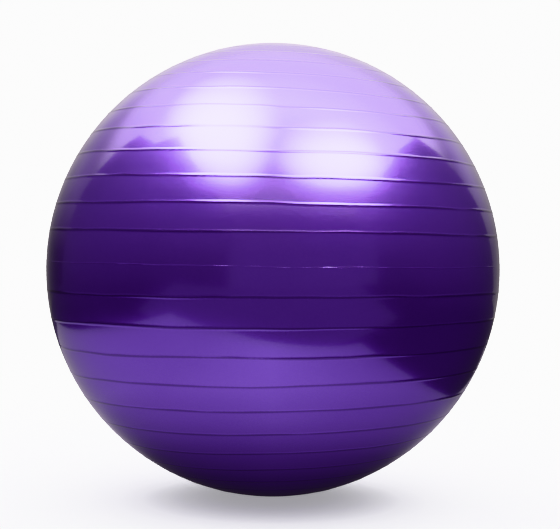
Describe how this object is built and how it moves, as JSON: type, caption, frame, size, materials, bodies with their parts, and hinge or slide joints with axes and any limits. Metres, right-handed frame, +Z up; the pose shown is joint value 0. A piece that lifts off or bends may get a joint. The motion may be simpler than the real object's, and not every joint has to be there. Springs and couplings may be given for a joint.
{
  "type": "exercise ball",
  "caption": "Inflated round exercise ball with raised grip rings, a moulded parting line and a pull-out air plug in a soft valve seat.",
  "frame": {"origin": "centre of the flat patch that the inflated ball rests on", "axes": "+Z up along the mould axis that all the ribs go round; the air valve is on the +Y side, a little above the middle; -Y is the front"},
  "size_m": [0.6502, 0.6502, 0.6488],
  "materials": {
    "ball_skin": "glossy pearl purple soft PVC",
    "valve_collar": "satin purple soft PVC",
    "plug_plastic": "satin white soft plastic"
  },
  "bodies": {
    "ball": {"ball_shell": "ball_skin", "valve_seat": "valve_collar"},
    "plug": {"air_plug": "plug_plastic"}
  },
  "joints": [
    {"name": "plug_pull", "type": "slide", "parent": "ball", "child": "plug", "axis": [0, 0.9764, 0.216], "range_m": [0, 0.035]}
  ]
}
